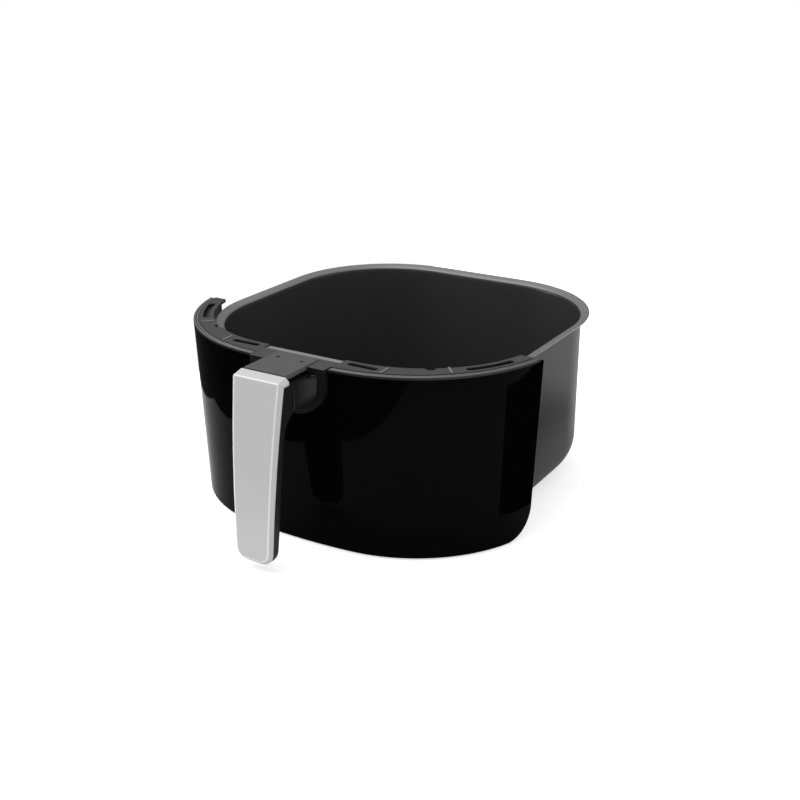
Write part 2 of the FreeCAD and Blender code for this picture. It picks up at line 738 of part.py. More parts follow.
def make_handle_body():
    """Arm and grip in one moulding: a bent bar, leaning in towards its foot, on a U-shaped flange."""
    body = new_body("handle_body")
    back_top = f"({grip_reach('places.arm_foot')} - dims.grip_depth)"
    lean = f"atan2(places.grip_back_foot - {back_top}; places.arm_foot - dims.grip_foot)"
    tangent = f"(dims.arm_inner_round * tan((90 deg - {lean}) / 2))"
    side = [
        line_to(minus("places.flange_face"), "places.arm_foot"),
        line_to(f"(-{back_top} + {tangent})", "places.arm_foot"),
        arc_to(f"(-{back_top} - {tangent} * sin({lean}))", f"(places.arm_foot - {tangent} * cos({lean}))",
               "dims.arm_inner_round"),
        line_to(minus("places.grip_back_foot"), "dims.grip_foot"),
        line_to(minus("places.grip_reach_foot"), "dims.grip_foot"),
        arc_to(minus("places.grip_reach_top"), "places.arm_top", "dims.grip_bow", -1),
        line_to(minus("places.flange_face"), "places.arm_top"),
    ]
    pad(body, "bar", "YZ_Plane", "0", [side], "4 * dims.grip_half_top", both=True)
    wide = "2 * dims.grip_half_top"
    trim_grip_sides(body, "0")
    over = "places.above_all"
    shoulder = [rectangle(minus(wide), minus("places.grip_reach_foot"), minus("dims.grip_half_top"), "0"),
                rectangle("dims.grip_half_top", minus("places.grip_reach_foot"), wide, "0")]
    pocket(body, "shoulders", "XY_Plane", over, shoulder, over)
    dress("Fillet", body, "foot_round", "dims.grip_foot_round", grip_foot_corner)

    def lower_edge(edge):
        box = edge.BoundBox
        middle = edge.valueAt((edge.FirstParameter + edge.LastParameter) / 2)
        inner = middle.y > -size(grip_reach(str(middle.z))) + size("dims.grip_depth") / 2
        return abs(middle.x) > size("dims.grip_half_foot") / 2 and box.XLength < box.DiagonalLength / 2 \
            and inner and middle.z < size("places.arm_foot") + 0.01 and box.DiagonalLength > size("dims.grip_depth")

    dress("Fillet", body, "back_round", "dims.grip_edge_round", lower_edge)
    flange = u_outline("dims.flange_half", "places.flange_foot", "places.bezel_top", "dims.flange_corner")
    pad(body, "flange", "XZ_Plane", "places.flange_back", [flange], "places.flange_face - places.flange_back")
    root = u_outline("places.root_half", "places.root_foot", "places.arm_top", "places.root_corner")
    pad(body, "root", "XZ_Plane", "places.flange_face", [root], "dims.root_length", taper="-dims.root_slope")

    seat_front = "(places.cover_front - dims.seat_step)"
    seat = rectangle(minus("dims.seat_half"), minus(seat_front), "dims.seat_half", minus("places.cover_rear"))
    pad(body, "seat", "XY_Plane", "places.arm_top", [seat], "places.cover_seat - places.arm_top")
    gap = "dims.fit_gap"
    recess = rectangle(f"(-dims.cover_half - {gap})", minus("places.cover_front"), f"(dims.cover_half + {gap})",
                       f"(-places.cover_rear + {gap})")
    pocket(body, "cover_recess", "XY_Plane", over, [recess], f"{over} - places.cover_seat")
    well = rectangle(minus("dims.well_half"), f"(dims.well_wall - {seat_front})", "dims.well_half",
                     minus("places.cover_rear + dims.well_wall"))
    pocket(body, "well", "XY_Plane", over, [well], f"{over} - places.well_floor")
    slot_half = f"(dims.tongue_width / 2 + {gap})"
    slot = rectangle(minus(slot_half), f"(places.tongue_height - dims.nut_height - 2 * {gap})", slot_half,
                     f"(places.tongue_top + {gap})")
    pocket(body, "tongue_slot", "XZ_Plane", "places.flange_back", [slot], f"places.tongue_end + {gap} - places.flange_back", flip=True)
    holes = [("0", minus(place), "dims.arm_screw + 2 * dims.hole_gap") for place in arm_screw_places()]
    pocket(body, "arm_holes", "XY_Plane", over, [], f"{over} - places.tongue_height", circles=holes)
    for number, height in enumerate(face_screw_heights()):
        reach = grip_reach(height)
        through = [("0", height, "places.small_hole")]
        head = [("0", height, "dims.small_head + 2 * dims.hole_gap")]
        boss = [("0", height, "dims.small_head + 2 * dims.hole_gap")]
        pocket(body, f"face_hole_{number}", "XZ_Plane", f"{reach} + dims.grip_depth", [], "4 * dims.grip_depth",
               circles=through)
        pocket(body, f"face_boss_{number}", "XZ_Plane", f"{reach} + dims.grip_depth", [],
               f"dims.grip_depth + {face_boss_length()} + {gap}", circles=boss)
        pocket(body, f"face_head_{number}", "XZ_Plane", f"({reach} - dims.grip_depth + dims.small_head_height)", [],
               "2 * dims.grip_depth", circles=head)
    return body


def face_screw_heights():
    return ("dims.face_screw_low", "dims.face_screw_high")


def face_boss_length():
    return "(dims.grip_depth / 3)"


def make_handle_face():
    """Silver cap over the grip's front, with a short roof over the arm's end and bevelled edges."""
    face = new_body("handle_face")
    gap = "dims.fit_gap"
    front_top = "(places.grip_reach_top + dims.face_depth)"
    front_foot = "(places.grip_reach_foot + dims.face_depth)"
    side = [
        line_to(minus("places.face_top_rear"), "places.face_top"),
        line_to(minus(front_top), "places.face_brow"),
        arc_to(minus(front_foot), "dims.grip_foot", "dims.grip_bow"),
        line_to(minus(f"places.grip_reach_foot + {gap}"), "dims.grip_foot"),
        arc_to(minus(f"places.grip_reach_top + {gap}"), f"(places.arm_top + {gap})", "dims.grip_bow", -1),
        line_to(minus("places.face_top_rear"), f"(places.arm_top + {gap})"),
    ]
    pad(face, "bar", "YZ_Plane", "0", [side], "4 * dims.grip_half_top", both=True)
    trim_grip_sides(face, "0")

    dress("Fillet", face, "foot_round", "dims.grip_foot_round", grip_foot_corner)

    def front_edge(edge):
        box = edge.BoundBox
        middle = edge.valueAt((edge.FirstParameter + edge.LastParameter) / 2)
        front = size(grip_reach(str(middle.z))) + size("dims.face_depth") / 2
        return middle.y < -front and not near(box.ZLength, "0") and middle.z < size("places.arm_top")

    def roof_edge(edge):
        box = edge.BoundBox
        return near(box.ZMax, "places.face_top") and box.YLength > box.XLength

    dress("Chamfer", face, "roof_bevel", "dims.face_bevel", roof_edge)
    dress("Chamfer", face, "bevel", "dims.face_bevel", front_edge)
    for number, height in enumerate(face_screw_heights()):
        reach = grip_reach(height)
        pad(face, f"boss_{number}", "XZ_Plane", f"({reach} - {face_boss_length()})", [],
            f"{face_boss_length()} + dims.face_depth / 2", circles=[("0", height, "dims.small_head")])
        pocket(face, f"pilot_{number}", "XZ_Plane", f"({reach} - {face_boss_length()})", [],
               face_boss_length(), circles=[("0", height, "places.small_hole")], flip=True)
    return face


def make_handle_top_cover():
    """Flat snap-on plate over the arm's screws, with two windows and two snap legs."""
    cover = new_body("handle_top_cover")
    plate = rectangle(minus("dims.cover_half"), minus("places.cover_front"), "dims.cover_half", minus("places.cover_rear"))
    pad(cover, "plate", "XY_Plane", "places.cover_seat", [plate], "dims.cover_sheet")
    reach = "dims.snap_size / 2"
    windows = []
    legs = []
    for place in ("dims.snap_place", minus("dims.snap_place")):
        windows.append(rectangle(f"({place} - {reach})", f"(-places.snap_row - {reach})", f"({place} + {reach})",
                                 f"(-places.snap_row + {reach})"))
        legs.append(rectangle(f"({place} - {reach})", f"(-places.snap_row - 3 * {reach})", f"({place} + {reach})",
                              f"(-places.snap_row - {reach})"))
    pad(cover, "legs", "XY_Plane", "places.cover_seat", legs, "dims.snap_length", flip=True)
    over = "places.above_all"
    pocket(cover, "windows", "XY_Plane", over, windows, over)
    return cover


def side_screw_heights():
    middle = "dims.side_low + dims.side_flange / 2"
    return (size(f"{middle} - dims.side_pitch / 2"), size(f"{middle} + dims.side_pitch / 2"))


def side_placement(side, distance, height, along=False):
    """Place on the ray from a front corner's centre, X outwards, or Z outwards where along is set."""
    angle = size("dims.side_angle")
    mid = size("places.corner_mid")
    heading = -angle if side > 0 else angle - 180
    turn = FreeCAD.Rotation(FreeCAD.Vector(0, 0, 1), heading)
    outwards = turn.multVec(FreeCAD.Vector(1, 0, 0))
    place = FreeCAD.Vector(side * mid, -mid, height) + outwards * distance
    if along:
        turn = turn * FreeCAD.Rotation(FreeCAD.Vector(0, 1, 0), 90)
    return FreeCAD.Placement(place, turn)


def make_side_bracket(label, side):
    """Z-shaped steel strip from the pan's corner out to the liner."""
    bracket = new_body(label)
    steel = "dims.side_sheet"
    top = "dims.side_flange"
    path = [
        line_to("places.side_inner", minus(top)),
        line_to(f"(places.side_inner + {steel})", minus(top)),
        line_to(f"(places.side_inner + {steel})", "0"),
        line_to("places.side_outer", "0"),
        line_to("places.side_outer", top),
        line_to(f"(places.side_outer - {steel})", top),
        line_to(f"(places.side_outer - {steel})", steel),
        line_to("places.side_inner", steel),
    ]
    pad(bracket, "strip", "XZ_Plane", "0", [path], "dims.side_width", both=True)
    middle = f"({top} / 2)"
    holes = [(f"({middle} + {sign} * dims.side_pitch / 2)") for sign in (-1, 1)]
    rows = [("0", height, "places.small_hole") for height in holes]
    pocket(bracket, "holes", "YZ_Plane", f"(places.side_outer + {steel})", [], f"3 * {steel}", circles=rows)
    bracket.Placement = side_placement(side, 0, size("dims.side_low"))
    return bracket


def screw(diameter, length, head, head_height):
    """Screw along Z: the head stands on Z = 0 and the shank hangs below it."""
    shank = Part.makeCylinder(diameter / 2, length, FreeCAD.Vector(0, 0, -length))
    return shank.fuse(Part.makeCylinder(head / 2, head_height)).removeSplitter()


def placed(shape, placement):
    copy = shape.copy()
    copy.Placement = placement
    return copy


def group(label, solids):
    """Several like fasteners, each its own solid, in one node."""
    feature = doc.addObject("Part::Feature", label)
    feature.Label = label
    feature.Shape = Part.makeCompound(solids)
    return feature


def make_fasteners():
    small = size("dims.small_screw")
    head = size("dims.small_head")
    head_height = size("dims.small_head_height")
    to_back = FreeCAD.Rotation(FreeCAD.Vector(1, 0, 0), -90)

    arm = size("dims.arm_screw")
    arm_length = size("places.well_floor - places.tongue_height + dims.nut_height")
    arm_screws = []
    nuts = []
    for place in arm_screw_places():
        y = -size(place)
        one = screw(arm, arm_length, size("dims.arm_head"), size("dims.arm_head_height"))
        arm_screws.append(placed(one, FreeCAD.Placement(FreeCAD.Vector(0, y, size("places.well_floor")),
                                                        FreeCAD.Rotation())))
        nut_radius = size("dims.nut_width") / math.sqrt(3)
        corners = [FreeCAD.Vector(nut_radius * math.cos(math.radians(60 * step)),
                                  nut_radius * math.sin(math.radians(60 * step)), 0) for step in range(7)]
        nut = Part.Face(Part.makePolygon(corners)).extrude(FreeCAD.Vector(0, 0, size("dims.nut_height")))
        nut = nut.cut(Part.makeCylinder(arm / 2 + size("dims.hole_gap"), size("dims.nut_height")))
        low = size("places.tongue_height - dims.nut_height")
        nuts.append(placed(nut, FreeCAD.Placement(FreeCAD.Vector(0, y, low), FreeCAD.Rotation())))

    panel_screws = []
    panel_length = size(f"places.boss_face - places.pan_half - places.shield_inside + {pilot_depth()} - dims.fit_gap")
    for x_place, height in boss_places():
        place = FreeCAD.Vector(size(x_place), -size("places.pan_half + places.shield_inside"), size(height))
        panel_screws.append(placed(screw(small, panel_length, head, head_height),
                                   FreeCAD.Placement(place, to_back)))

    face_screws = []
    for height in face_screw_heights():
        seat = size(f"{grip_reach(height)} - dims.grip_depth + dims.small_head_height")
        length = size(f"{grip_reach(height)}") - seat
        place = FreeCAD.Vector(0, -seat, size(height))
        face_screws.append(placed(screw(small, length, head, head_height), FreeCAD.Placement(place, to_back)))

    side_screws = []
    side_length = size("dims.pan_corner + dims.liner_gap + dims.liner_wall + dims.side_sheet - places.side_outer")
    inwards = FreeCAD.Rotation(FreeCAD.Vector(0, 1, 0), 180)
    for side in (1, -1):
        for height in side_screw_heights():
            place = side_placement(side, size("places.side_outer - dims.side_sheet"), height, along=True)
            place.Rotation = place.Rotation * inwards
            side_screws.append(placed(screw(small, side_length, head, head_height), place))

    return [group("handle_screws", arm_screws), group("bracket_nuts", nuts), group("panel_screws", panel_screws),
            group("face_screws", face_screws), group("bracket_screws", side_screws)]


FULL_TURN = 360


def radial_slot(inner, outer, angle):
    """A slot along a ray from the plate's middle, between two distances."""
    half = "(dims.slot_width / 2)"
    corners = ((inner, minus(half)), (outer, minus(half)), (outer, half), (inner, half))
    return [line_to(f"({along} * cos({angle}) - {across} * sin({angle}))",
                    f"({along} * sin({angle}) + {across} * cos({angle}))") for along, across in corners]


def make_crisper_plate():
    """Perforated plate with a turned-down lip, a finger hole, rings of radial slots and four pressed feet."""
    plate = new_body("crisper_plate")
    top = "(dims.plate_height + dims.plate_sheet)"
    outline = rounded_square("places.plate_inset")
    pad(plate, "sheet", "XY_Plane", "dims.plate_height", [outline], "dims.plate_sheet")
    lip = [outline, rounded_square("(places.plate_inset - dims.plate_sheet)")]
    pad(plate, "lip", "XY_Plane", "dims.plate_height", lip, "dims.plate_lip", flip=True)
    feet = [(x_sign + "dims.foot_place", y_sign + "dims.foot_place", "dims.foot_width")
            for x_sign in ("", "-") for y_sign in ("", "-")]
    pad(plate, "feet", "XY_Plane", "dims.pan_sheet", [], "dims.plate_height - dims.pan_sheet", circles=feet)
    pocket(plate, "finger_hole", "XY_Plane", f"2 * {top}", [], f"2 * {top}",
           circles=[("0", "0", "dims.finger_hole")])
    start = "(dims.finger_hole / 2 + dims.slot_ring_gap)"
    for ring, count in enumerate((8, 16, 24)):
        inner = f"({start} + {ring} * (dims.slot_length + dims.slot_ring_gap))"
        outer = f"({inner} + dims.slot_length)"
        slot = radial_slot(inner, outer, f"({FULL_TURN} / {count} / 2)")
        cut = pocket(plate, f"slot_{ring}", "XY_Plane", f"2 * {top}", [slot], f"2 * {top}")
        pattern = plate.newObject("PartDesign::PolarPattern", f"slots_{ring}")
        pattern.Originals = [cut]
        axis = [feature for feature in plate.Origin.OriginFeatures if feature.Role == "Z_Axis"][0]
        pattern.Axis = (axis, [""])
        pattern.Angle = FULL_TURN
        pattern.Occurrences = count
        plate.Tip = pattern
        doc.recompute()
    return plate


def make_crisper_bumper(label, heading):
    """Silicone clip over the plate's edge at one corner, in line with the corner's middle."""
    bumper = new_body(label)
    wall = "(dims.pan_corner - dims.pan_sheet)"
    edge = f"({wall} - dims.plate_gap)"
    outside = f"({wall} - dims.bumper_gap)"
    inside = f"({edge} - dims.bumper_inside)"
    half = "(dims.bumper_width / 2)"
    reach = f"sqrt({outside}^2 - {half}^2)"
    block = [
        line_to(inside, minus(half)),
        line_to(reach, minus(half)),
        arc_to(reach, half, outside),
        line_to(inside, half),
    ]
    low = "(dims.plate_height - dims.bumper_below)"
    tall = "(dims.bumper_below + dims.plate_sheet + dims.bumper_above)"
    pad(bumper, "block", "XY_Plane", low, [block], tall)
    gap = "dims.fit_gap"
    slit_low = f"(dims.plate_height - dims.plate_lip - {gap})"
    slit_top = f"(dims.plate_height + dims.plate_sheet + {gap})"
    edge_reach = f"({edge} + {gap})"
    slit = [
        line_to(f"({inside} - 1)", minus(f"2 * {half}")),
        line_to(f"sqrt({edge_reach}^2 - (2 * {half})^2)", minus(f"2 * {half}")),
        arc_to(f"sqrt({edge_reach}^2 - (2 * {half})^2)", f"(2 * {half})", edge_reach),
        line_to(f"({inside} - 1)", f"(2 * {half})"),
    ]
    pocket(bumper, "slit", "XY_Plane", slit_top, [slit], f"{slit_top} - (dims.plate_height - {gap})")
    lip_inside = f"({edge} - dims.plate_sheet - {gap})"
    groove = [
        line_to(f"sqrt({edge_reach}^2 - (2 * {half})^2)", minus(f"2 * {half}")),
        arc_to(f"sqrt({edge_reach}^2 - (2 * {half})^2)", f"(2 * {half})", edge_reach),
        line_to(f"sqrt({lip_inside}^2 - (2 * {half})^2)", f"(2 * {half})"),
        arc_to(f"sqrt({lip_inside}^2 - (2 * {half})^2)", minus(f"2 * {half}"), lip_inside, -1),
    ]
    pocket(bumper, "groove", "XY_Plane", slit_top, [groove], f"{slit_top} - {slit_low}")
    mid = size("places.corner_mid")
    x_side = 1 if math.cos(math.radians(heading)) > 0 else -1
    y_side = 1 if math.sin(math.radians(heading)) > 0 else -1
    turn = FreeCAD.Rotation(FreeCAD.Vector(0, 0, 1), heading)
    bumper.Placement = FreeCAD.Placement(FreeCAD.Vector(x_side * mid, y_side * mid, 0), turn)
    return bumper


def check(nodes):
    doc.recompute()
    for item in doc.Objects:
        if "Invalid" in item.State or "Error" in item.State:
            raise RuntimeError(f"{item.Name} failed: {item.State}")
    for node in nodes:
        shape = node.Shape
        if shape.isNull() or not shape.isValid() or not shape.Solids:
            raise RuntimeError(f"{node.Label} has no valid solid")


def main():
    nodes = [
        make_pan(),
        make_front_panel(),
        make_panel_frame(),
        make_heat_shield(),
        make_bezel("top_bezel_right", 1),
        make_bezel("top_bezel_left", -1),
        make_handle_bracket(),
        make_handle_body(),
        make_handle_face(),
        make_handle_top_cover(),
        make_side_bracket("side_bracket_right", 1),
        make_side_bracket("side_bracket_left", -1),
        *make_fasteners(),
        make_crisper_plate(),
        make_crisper_bumper("crisper_bumper_front_left", -135),
        make_crisper_bumper("crisper_bumper_front_right", -45),
        make_crisper_bumper("crisper_bumper_back_right", 45),
        make_crisper_bumper("crisper_bumper_back_left", 135),
    ]
    check(nodes)
    os.makedirs("parts", exist_ok=True)
    for node in nodes:
        node.Shape.exportStep(f"parts/{node.Label}.step")
        box = node.Shape.optimalBoundingBox()
        print(f"{node.Label}: {len(node.Shape.Solids)} solid(s), {node.Shape.Volume / 1000:.1f} cm3, "
              f"x {box.XMin:.1f} {box.XMax:.1f} y {box.YMin:.1f} {box.YMax:.1f} z {box.ZMin:.1f} {box.ZMax:.1f}")


main()
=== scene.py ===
# %% [markdown]
# # An air fryer's drawer
# The drawer comes as a packed assembly: pan, double-walled front, handle and a loose crisper plate. This
# script dresses it. The pan and the grip's silver face are made again with soft edges, the arm gets a
# fairing and the caps get fine ridges. Every other piece keeps its solid and gets a finish. All lengths
# are metres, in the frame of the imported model.

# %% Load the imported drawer
import bmesh
import bpy
import numpy as np
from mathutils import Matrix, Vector


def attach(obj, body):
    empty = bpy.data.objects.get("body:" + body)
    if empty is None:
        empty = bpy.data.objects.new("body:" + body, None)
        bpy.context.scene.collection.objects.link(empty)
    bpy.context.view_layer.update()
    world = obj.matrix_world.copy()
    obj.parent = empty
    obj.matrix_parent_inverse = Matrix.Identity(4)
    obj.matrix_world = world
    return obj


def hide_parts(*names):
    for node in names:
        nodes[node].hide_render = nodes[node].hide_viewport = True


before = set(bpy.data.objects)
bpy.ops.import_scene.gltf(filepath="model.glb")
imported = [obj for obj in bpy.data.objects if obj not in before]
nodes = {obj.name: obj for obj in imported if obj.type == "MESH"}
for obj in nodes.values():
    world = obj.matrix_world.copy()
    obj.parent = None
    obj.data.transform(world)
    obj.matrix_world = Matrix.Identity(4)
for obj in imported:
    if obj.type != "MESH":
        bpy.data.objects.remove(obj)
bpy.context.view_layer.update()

MM = 0.001
MERGE_DISTANCE = 0.001 * MM
print("nodes:", len(nodes))

# %% [markdown]
# ## Meshes from arrays
# A drawn or moulded piece is a surface of two parameters: rings of points that follow one outline,
# stacked along a profile. It could be pushed into shape by hand from a cube. Here whole arrays of points
# become quads in one step, which keeps the shape in a formula and lets a size change without new
# handwork.

# %% Rings of points to a mesh
def place_mesh(name, mesh):
    """Puts a mesh into the scene as an object at the origin."""
    piece = bpy.data.objects.new(name, mesh)
    bpy.context.scene.collection.objects.link(piece)
    return piece


def ring_mesh(name, rings, capped=True):
    """Joins closed rings of points, an array (ring, point, 3), by quads. Each end is capped by a fan to its
    middle, unless the end rings are folded flat and close it by themselves."""
    ring_count, point_count = rings.shape[:2]
    index = np.arange(ring_count * point_count).reshape(ring_count, point_count)
    following = np.roll(index, -1, axis=1)
    quads = np.stack([index[:-1], index[1:], following[1:], following[:-1]], axis=-1)
    vertices = rings.reshape(-1, 3)
    faces = quads.reshape(-1, 4).tolist()
    if capped:
        middles = np.stack([rings[0].mean(axis=0), rings[-1].mean(axis=0)])
        first_middle = len(vertices)
        vertices = np.concatenate([vertices, middles])
        hub = np.full(point_count, first_middle)
        faces += np.column_stack([hub, index[0], following[0]]).tolist()
        faces += np.column_stack([hub + 1, following[-1], index[-1]]).tolist()
    mesh = bpy.data.meshes.new(name)
    mesh.from_pydata(vertices.tolist(), [], faces)
    turned = bmesh.new()
    turned.from_mesh(mesh)
    bmesh.ops.remove_doubles(turned, verts=turned.verts, dist=MERGE_DISTANCE)
    bmesh.ops.recalc_face_normals(turned, faces=turned.faces)
    turned.to_mesh(mesh)
    turned.free()
    mesh.polygons.foreach_set("use_smooth", np.ones(len(mesh.polygons), dtype=bool))
    mesh.update()
    print(name, "faces:", len(mesh.polygons))
    return place_mesh(name, mesh)


# %% [markdown]
# ## Finishes
# Each finish is a principled surface with a fine grain. One noise, in the object's own coordinates, moves
# the roughness and a shallow bump together, as the texture of a mould or a coating does. A second, broad
# noise shifts the colour a little, so that no face is one flat tone. A painted picture could do the same,
# but it would need an unwrapped surface for every piece, and noise needs none.

# %% A finish from two noises
CHANNELS = ("Red", "Green", "Blue")
BROAD_SCALE = 9.0
FINE_DETAIL, BROAD_DETAIL = 4.0, 3.0
RELIEF_DEPTH = 0.1 * MM
TONE_BLEND = 0.1 * MM


def add_node(material, kind, **values):
    """A new shader node with numbers set on its sockets."""
    node = material.node_tree.nodes.new(kind)
    for socket, value in values.items():
        node.inputs[socket.replace("_", " ")].default_value = value
    return node


def finish(name, tone, rough, spread=0.08, metal=0.0, shine=0.5,
           grain=900.0, stretch=(1, 1, 1), bump=0.15, drift=0.12):
    """A grey finish: tone is its linear brightness, drift how far the broad noise moves that, rough its
    roughness and spread how far the grain moves it."""
    material = bpy.data.materials.new(name)
    material.use_nodes = True
    links = material.node_tree.links
    shader = material.node_tree.nodes["Principled BSDF"]
    shader.inputs["Metallic"].default_value = metal
    shader.inputs["Specular IOR Level"].default_value = shine

    place = material.node_tree.nodes.new("ShaderNodeTexCoord")
    scaled = add_node(material, "ShaderNodeMapping", Scale=stretch)
    links.new(place.outputs["Object"], scaled.inputs["Vector"])
    fine = add_node(material, "ShaderNodeTexNoise", Scale=grain, Detail=FINE_DETAIL)
    broad = add_node(material, "ShaderNodeTexNoise", Scale=BROAD_SCALE, Detail=BROAD_DETAIL)
    links.new(scaled.outputs["Vector"], fine.inputs["Vector"])
    links.new(place.outputs["Object"], broad.inputs["Vector"])

    roughness = add_node(material, "ShaderNodeMapRange", To_Min=rough - spread, To_Max=rough + spread)
    links.new(fine.outputs["Fac"], roughness.inputs["Value"])
    links.new(roughness.outputs["Result"], shader.inputs["Roughness"])
    level = add_node(material, "ShaderNodeMapRange", To_Min=tone * (1 - drift), To_Max=tone * (1 + drift))
    links.new(broad.outputs["Fac"], level.inputs["Value"])
    colour = material.node_tree.nodes.new("ShaderNodeCombineColor")
    for channel in CHANNELS:
        links.new(level.outputs["Result"], colour.inputs[channel])
    links.new(colour.outputs["Color"], shader.inputs["Base Color"])
    relief = add_node(material, "ShaderNodeBump", Strength=bump, Distance=RELIEF_DEPTH)
    links.new(fine.outputs["Fac"], relief.inputs["Height"])
    links.new(relief.outputs["Normal"], shader.inputs["Normal"])
    return material


def tone_above(material, height, tone):
    """Gives everything above a height a tone of its own: where a lighter moulding is flush with a darker
    one, for painted shade in the depth of a slot below the height, and for a painted highlight on a rib
    above it."""
    links = material.node_tree.links
    colour = next(node for node in material.node_tree.nodes if node.bl_idname == "ShaderNodeCombineColor")
    plain = colour.inputs["Red"].links[0].from_socket
    place = material.node_tree.nodes.new("ShaderNodeTexCoord")
    split = material.node_tree.nodes.new("ShaderNodeSeparateXYZ")
    links.new(place.outputs["Object"], split.inputs["Vector"])
    above = add_node(material, "ShaderNodeMapRange", From_Min=height, From_Max=height + TONE_BLEND)
    links.new(split.outputs["Z"], above.inputs["Value"])
    mixed = material.node_tree.nodes.new("ShaderNodeMix")
    mixed.inputs["B"].default_value = tone
    links.new(above.outputs["Result"], mixed.inputs["Factor"])
    links.new(plain, mixed.inputs["A"])
    for channel in CHANNELS:
        links.new(mixed.outputs["Result"], colour.inputs[channel])


# %% [markdown]
# ## Which finish goes where
# The front is gloss black and shows little but faint reflections. Caps and cover are fine matte grey, the
# arm is nearly black with a grey top, the grip's face is silver lacquer with a faint vertical grain, and
# the brackets are satin steel. On the caps everything below the ledge, the slots too, is darkened as
# painted shade, and the ribs above the top face are lightened as a painted highlight. Those tones follow
# the height, because each cap is one solid with one finish.

# %% Finishes of the solids
VERTICAL_GRAIN = (1, 1, 0.03)
SIDEWAYS_GRAIN = (0.03, 1, 1)
CAP_LEDGE, CAP_TOP = 130.5 * MM, 131.2 * MM
CAP_MARGIN, ARM_MARGIN = 0.15 * MM, 0.2 * MM
gloss_black = finish("gloss_black", 0.0012, 0.05, spread=0.012, shine=0.027, grain=300.0, bump=0.004)
# The liner is black plastic, made darker still as painted shade at the bottoms of the caps' slots.
liner_black = finish("liner_black", 0.006, 0.55)
# Below the ledge the caps are near black, painted shade in the slots and on the sides; their own grey
# starts at the ledge.
bezel_grey = finish("bezel_grey", 0.010, 0.45, bump=0.25)
tone_above(bezel_grey, CAP_LEDGE - CAP_MARGIN, 0.078)
# Above the top face the ribs get a much lighter tone, a painted highlight along their tops.
tone_above(bezel_grey, CAP_TOP + CAP_MARGIN, 0.22)
# The ridges' light grey is a painted highlight along each ridge.
ridge_highlight_grey = finish("ridge_highlight_grey", 0.19, 0.38, bump=0.2)
arm_black = finish("arm_black", 0.009, 0.42, shine=0.4, bump=0.2)
tone_above(arm_black, CAP_TOP - ARM_MARGIN, 0.085)
cover_grey = finish("cover_grey", 0.115, 0.38, bump=0.2)
silver = finish("silver", 0.60, 0.36, spread=0.06, shine=0.35,
                grain=1400.0, stretch=VERTICAL_GRAIN, bump=0.08, drift=0.05)
# A much lighter silver for the rounded edges: a painted highlight.
silver_edge_highlight = finish("silver_edge_highlight", 0.86, 0.3, spread=0.05, bump=0.05, drift=0.03)
steel = finish("steel", 0.36, 0.33, metal=0.3, grain=1200.0, stretch=SIDEWAYS_GRAIN, bump=0.1)
plated = finish("plated", 0.45, 0.28, metal=1.0)
outside_coating = finish("coating_outside", 0.018, 0.34, shine=0.3, grain=1600.0, bump=0.2)
# The lip's light tone is the same coating painted lighter, a painted highlight where it faces up.
lip_highlight_coating = finish("coating_lip_highlight", 0.21, 0.26, shine=0.6, grain=1600.0, bump=0.1)
inside_coating = finish("coating_inside", 0.044, 0.36, shine=0.6, grain=1600.0, bump=0.25)
silicone = finish("silicone", 0.03, 0.62, bump=0.3)

finishes = {
    "pan": outside_coating,
    "front_panel": gloss_black,
    "panel_frame": liner_black,
    "top_bezel_right": bezel_grey,
    "top_bezel_left": bezel_grey,
    "handle_body": arm_black,
    "handle_top_cover": cover_grey,
    "handle_face": silver,
    "handle_bracket": steel,
    "side_bracket_right": steel,
    "side_bracket_left": steel,
    "heat_shield": steel,
    "crisper_plate": inside_coating,
}
for name, node in nodes.items():
    material = finishes.get(name)
    if material is None:
        material = silicone if name.startswith("crisper_bumper") else plated
    node.data.materials.clear()
    node.data.materials.append(material)
    print(name, "->", material.name)

# %% [markdown]
# ## Pan
# The pan is deep-drawn from one sheet: a rounded square, a wide round at the base and a lip that flares
# out to a rolled bead. A box with bevelled edges comes close, but it has no such lip. So a profile runs
# from the middle of the floor up the inside, over the lip and down the outside, and each of its points is
# one ring. Inside and outside each have a tone of their own, and the lip a much lighter one, a painted
# highlight where it faces up to the lamps.

# %% The pan's outline and profile
WALL_HALF = 118 * MM
CORNER = 80 * MM
CORNER_MIDDLE = WALL_HALF - CORNER
SHEET = 1.2 * MM
BASE_ROUND = 28 * MM
BEAD = 1.1 * MM
BEAD_REACH = 4.9 * MM
RIM_HEIGHT = 126 * MM
FLARE = 4.0 * MM
FLARE_HEIGHT = 120.8 * MM
FLARE_END, BEAD_END = np.radians(114), np.radians(-110)
ROUND_STEPS, WALL_STEPS = 16, 16
FLARE_IN_STEPS, BEAD_STEPS, FLARE_OUT_STEPS = 10, 18, 8
QUARTER_TURN = np.array([[0, -1], [1, 0]])


def rounded_square(offset, arc_steps=28, side_steps=14):
    """Points round the pan's wall moved outwards: four straight sides joined by quarter circles about fixed
    centres."""
    points = []
    for quarter in range(4):
        turn = np.pi / 2 * quarter
        angles = turn + np.linspace(0, np.pi / 2, arc_steps)
        diagonal = np.array([np.cos(turn + np.pi / 4), np.sin(turn + np.pi / 4)])
        middle = CORNER_MIDDLE * np.sqrt(2) * diagonal
        arc = middle + (CORNER + offset) * np.stack([np.cos(angles), np.sin(angles)], axis=-1)
        along = np.linspace(0, 1, side_steps + 1)[1:-1, None]
        points.append(arc)
        next_start = QUARTER_TURN @ arc[0]
        points.append(arc[-1] + (next_start - arc[-1]) * along)
    return np.concatenate(points)


def arc_profile(middle_offset, middle_height, radius, first, last, steps):
    """Part of a circle in the profile, as pairs of offset and height."""
    angles = np.linspace(first, last, steps)
    offsets = middle_offset + radius * np.cos(angles)
    heights = middle_height + radius * np.sin(angles)
    return np.stack([offsets, heights], axis=-1)


